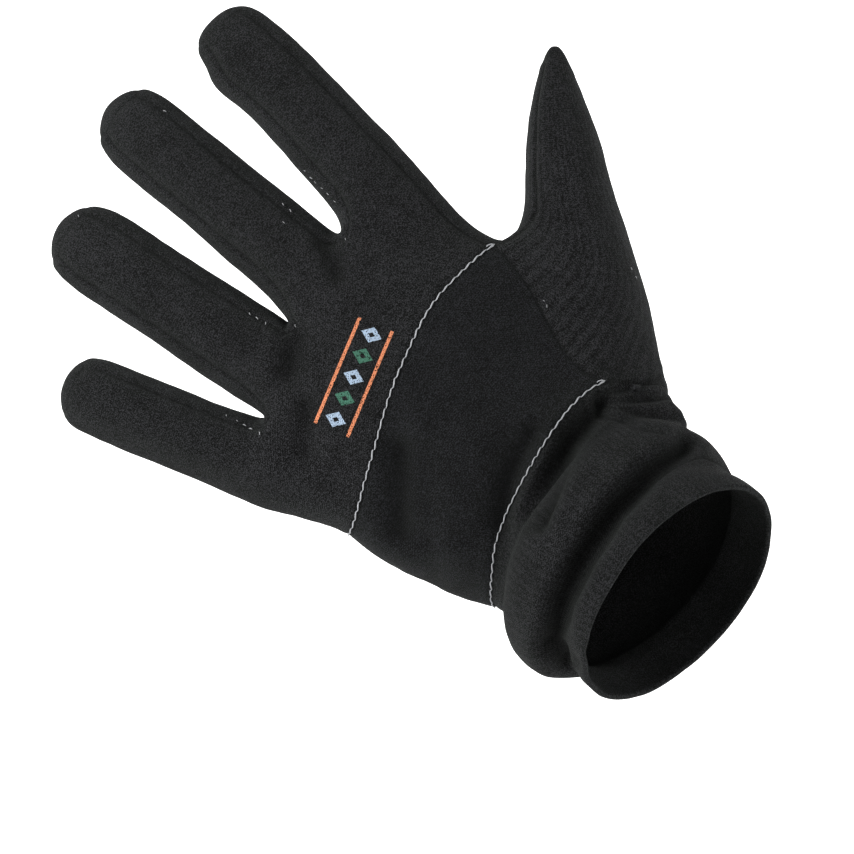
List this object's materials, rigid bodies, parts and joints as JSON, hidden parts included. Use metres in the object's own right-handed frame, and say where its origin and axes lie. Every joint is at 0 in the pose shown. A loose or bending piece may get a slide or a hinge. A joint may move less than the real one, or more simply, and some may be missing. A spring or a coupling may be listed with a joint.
{
  "type": "knitted glove liner",
  "caption": "Thin black knitted glove liner for the left hand, with spread fingers, a sewn-in thumb, two stitched seams across the back and a rolled knit cuff.",
  "frame": {"origin": "the middle of the cuff's mouth, where the wrist goes in", "axes": "+Z along the hand to the fingertips, +X towards the thumb, -Y the way the back of the hand faces; the cuff leans towards the back of the hand"},
  "size_m": [0.1808, 0.0818, 0.2417],
  "materials": {
    "fine_knit": "matt fine knit, black",
    "rib_knit": "matt rib knit, black"
  },
  "bodies": {
    "root": {"cuff_hem": "rib_knit", "cuff": "rib_knit", "back_of_hand": "fine_knit", "back_of_fingers": "fine_knit", "palm": "fine_knit", "thumb_back": "fine_knit", "thumb_front": "fine_knit", "side_strip_ring_little": "fine_knit", "side_strip_middle_ring": "fine_knit", "side_strip_index_middle": "fine_knit"}
  },
  "joints": []
}
